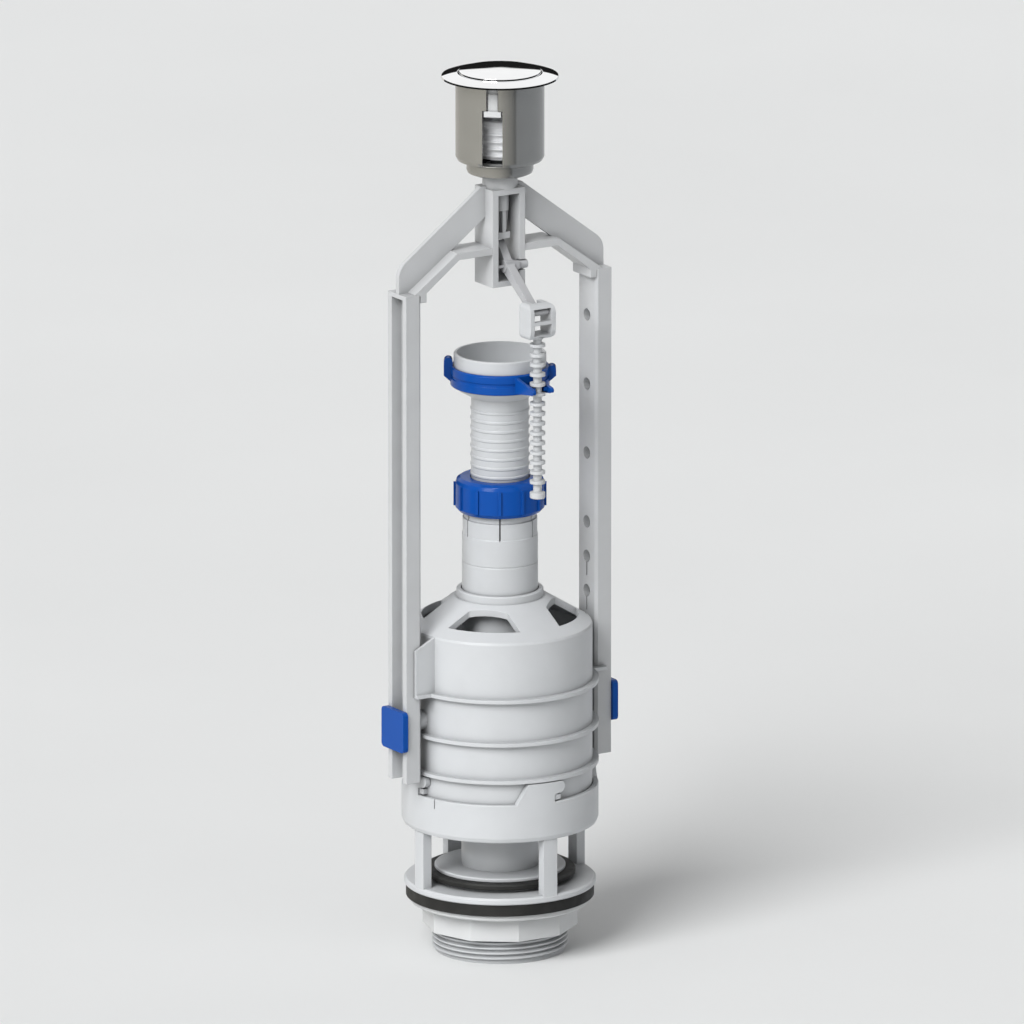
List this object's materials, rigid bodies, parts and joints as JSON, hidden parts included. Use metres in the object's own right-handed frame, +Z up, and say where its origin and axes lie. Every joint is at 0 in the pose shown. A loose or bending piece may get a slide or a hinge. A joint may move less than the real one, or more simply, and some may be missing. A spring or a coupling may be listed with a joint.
{
  "type": "toilet flush valve",
  "caption": "Push-button cistern flush valve: seat cage with bayonet body, overflow tube and beaded lift rod under a bridge with rocker lever and chrome button.",
  "frame": {"origin": "centre of the outlet's lower rim", "axes": "+Z up the valve's axis, -Y to the front where the lever and rod are, +X to the right leg"},
  "size_m": [0.1112, 0.0868, 0.3977],
  "materials": {
    "pale_plastic": "satin moulded",
    "tube_plastic": "satin moulded",
    "grey_plastic": "satin moulded",
    "olive_plastic": "satin metallic coat",
    "dark_plastic": "satin moulded",
    "white_plastic": "satin moulded",
    "blue_plastic": "semi-gloss moulded",
    "rubber": "matte",
    "chrome_plate": "chrome-plated plastic, polished",
    "spring_steel": "drawn wire"
  },
  "bodies": {
    "base": {"base_cage": "pale_plastic", "flange_gasket": "rubber"},
    "below_nut": {"back_nut": "white_plastic"},
    "shell": {"body_shell": "pale_plastic", "bridge_frame": "grey_plastic", "button_housing": "olive_plastic", "bezel_ring": "chrome_plate", "return_spring": "spring_steel"},
    "left_clip": {"left_lock_clip": "blue_plastic"},
    "right_clip": {"right_lock_clip": "blue_plastic"},
    "valve": {"valve_stem": "tube_plastic", "float_cup": "dark_plastic", "clamp_plate": "pale_plastic", "valve_seal": "rubber", "seal_retainer": "pale_plastic", "tube_seal": "rubber", "overflow_tube": "tube_plastic", "rod_clip_ring": "blue_plastic", "lift_rod": "pale_plastic"},
    "clamp_nut": {"tube_nut": "blue_plastic"},
    "button": {"push_button": "chrome_plate", "button_carrier": "white_plastic", "stem_screw": "white_plastic", "plunger": "grey_plastic"},
    "lever": {"rocker_lever": "grey_plastic"}
  },
  "joints": [
    {"name": "bayonet_twist", "type": "hinge", "parent": "base", "child": "shell", "pos_m": [0, 0, 0.0758], "axis": [0, 0, 1], "range_deg": [0, 30]},
    {"name": "back_nut_turn", "type": "hinge", "parent": "base", "child": "below_nut", "pos_m": [0, 0, 0.018], "axis": [0, 0, 1], "continuous": true},
    {"name": "valve_lift", "type": "slide", "parent": "shell", "child": "valve", "axis": [0, 0, 1], "range_m": [0, 0.0156]},
    {"name": "button_press", "type": "slide", "parent": "shell", "child": "button", "axis": [0, 0, -1], "range_m": [0, 0.005], "stiffness_N_per_m": 200, "springref_m": -0.01, "deforming": ["return_spring"]},
    {"name": "lever_rock", "type": "hinge", "parent": "shell", "child": "lever", "pos_m": [0, -0.0062, 0.31], "axis": [-1, 0, 0], "range_deg": [0, 30]},
    {"name": "tube_nut_turn", "type": "hinge", "parent": "valve", "child": "clamp_nut", "pos_m": [0, 0, 0.205], "axis": [0, 0, 1], "continuous": true},
    {"name": "left_clip_pull", "type": "slide", "parent": "shell", "child": "left_clip", "axis": [-1, 0, 0], "range_m": [0, 0.007]},
    {"name": "right_clip_pull", "type": "slide", "parent": "shell", "child": "right_clip", "axis": [1, 0, 0], "range_m": [0, 0.007]}
  ],
  "couplings": [
    {"joint": "button_press", "follows": "valve_lift", "ratio": 0.3205},
    {"joint": "lever_rock", "follows": "valve_lift", "rad_per_m": 33.56}
  ]
}
